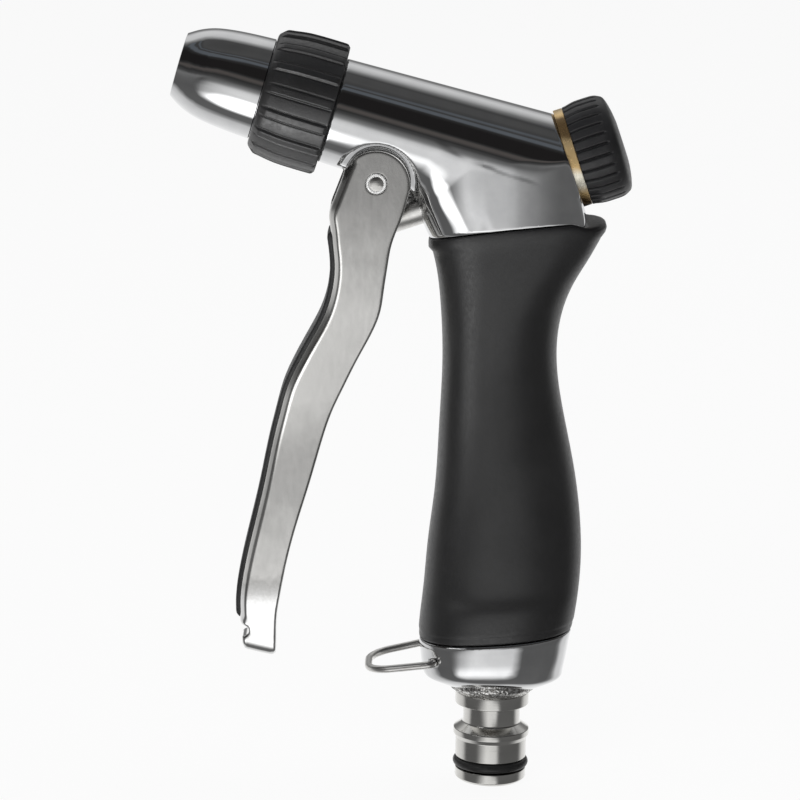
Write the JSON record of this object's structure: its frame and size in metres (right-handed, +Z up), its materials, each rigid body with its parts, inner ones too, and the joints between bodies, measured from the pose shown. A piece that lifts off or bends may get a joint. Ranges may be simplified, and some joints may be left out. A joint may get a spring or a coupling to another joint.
{
  "type": "hose spray nozzle",
  "caption": "Metal hose spray nozzle with a squeeze lever on a pistol grip, a twist nozzle, a rear flow knob, a wire hold-open bail and a quick-connect hose plug.",
  "frame": {"origin": "centre of the hose plug's locking ridge, on the plug's axis", "axes": "+Z up the plug towards the head, -X the way the spray leaves, +Y to the lever's other side"},
  "size_m": [0.1015, 0.0294, 0.169],
  "materials": {
    "chrome": "bright plated",
    "grip_rubber": "fine matt grain",
    "turned_nickel": "turned",
    "seal_rubber": "smooth",
    "brass": "polished",
    "satin_nickel": "satin plated",
    "pad_rubber": "matt",
    "collar_plastic": "soft sheen",
    "knob_plastic": "soft sheen",
    "spring_steel": "drawn wire"
  },
  "bodies": {
    "frame": {"body_casting": "chrome", "grip_sleeve": "grip_rubber", "base_cap": "chrome", "hose_plug": "turned_nickel", "plug_o_ring": "seal_rubber", "plug_washer": "seal_rubber", "jet_needle": "brass", "pivot_pin": "turned_nickel", "brass_bush": "brass", "bush_gasket": "seal_rubber", "sleeve_o_ring": "seal_rubber", "stem_o_ring": "seal_rubber", "return_spring": "spring_steel"},
    "lever": {"squeeze_lever": "satin_nickel", "lever_pad": "pad_rubber"},
    "stem": {"valve_stem": "turned_nickel", "valve_disc": "seal_rubber", "disc_washer": "brass", "stem_nut": "turned_nickel"},
    "nozzle_seal": {"nozzle_o_ring": "seal_rubber"},
    "nozzle": {"nozzle_tip": "chrome", "nozzle_collar": "collar_plastic"},
    "knob": {"flow_knob": "knob_plastic", "flow_sleeve": "brass", "knob_screw": "turned_nickel"},
    "bail": {"hold_open_bail": "spring_steel"}
  },
  "joints": [
    {"name": "lever_squeeze", "type": "hinge", "parent": "frame", "child": "lever", "pos_m": [-0.0283, 0, 0.1254], "axis": [0, -1, 0], "range_deg": [0, 15.3], "stiffness_Nm_per_rad": 2.2, "springref_deg": -6.88},
    {"name": "stem_slide", "type": "slide", "parent": "frame", "child": "stem", "axis": [0.9426, 0, 0.3338], "range_m": [0, 0.0025], "deforming": ["return_spring"]},
    {"name": "nozzle_travel", "type": "slide", "parent": "frame", "child": "nozzle_seal", "axis": [-0.9636, 0, 0.2672], "range_m": [0, 0.003]},
    {"name": "nozzle_twist", "type": "hinge", "parent": "nozzle_seal", "child": "nozzle", "pos_m": [-0.072, 0, 0.1496], "axis": [-0.9636, 0, 0.2672], "range_deg": [0, 432.1]},
    {"name": "knob_turn", "type": "hinge", "parent": "frame", "child": "knob", "pos_m": [0.0137, 0, 0.1306], "axis": [0.9426, 0, 0.3338], "range_deg": [0, 180]},
    {"name": "bail_swing", "type": "hinge", "parent": "frame", "child": "bail", "pos_m": [-0.0134, 0, 0.0177], "axis": [0, 1, 0], "range_deg": [-70, 16]}
  ],
  "couplings": [
    {"joint": "stem_slide", "follows": "lever_squeeze", "m_per_rad": 0.00935},
    {"joint": "nozzle_twist", "follows": "nozzle_travel", "rad_per_m": 2513.3}
  ]
}
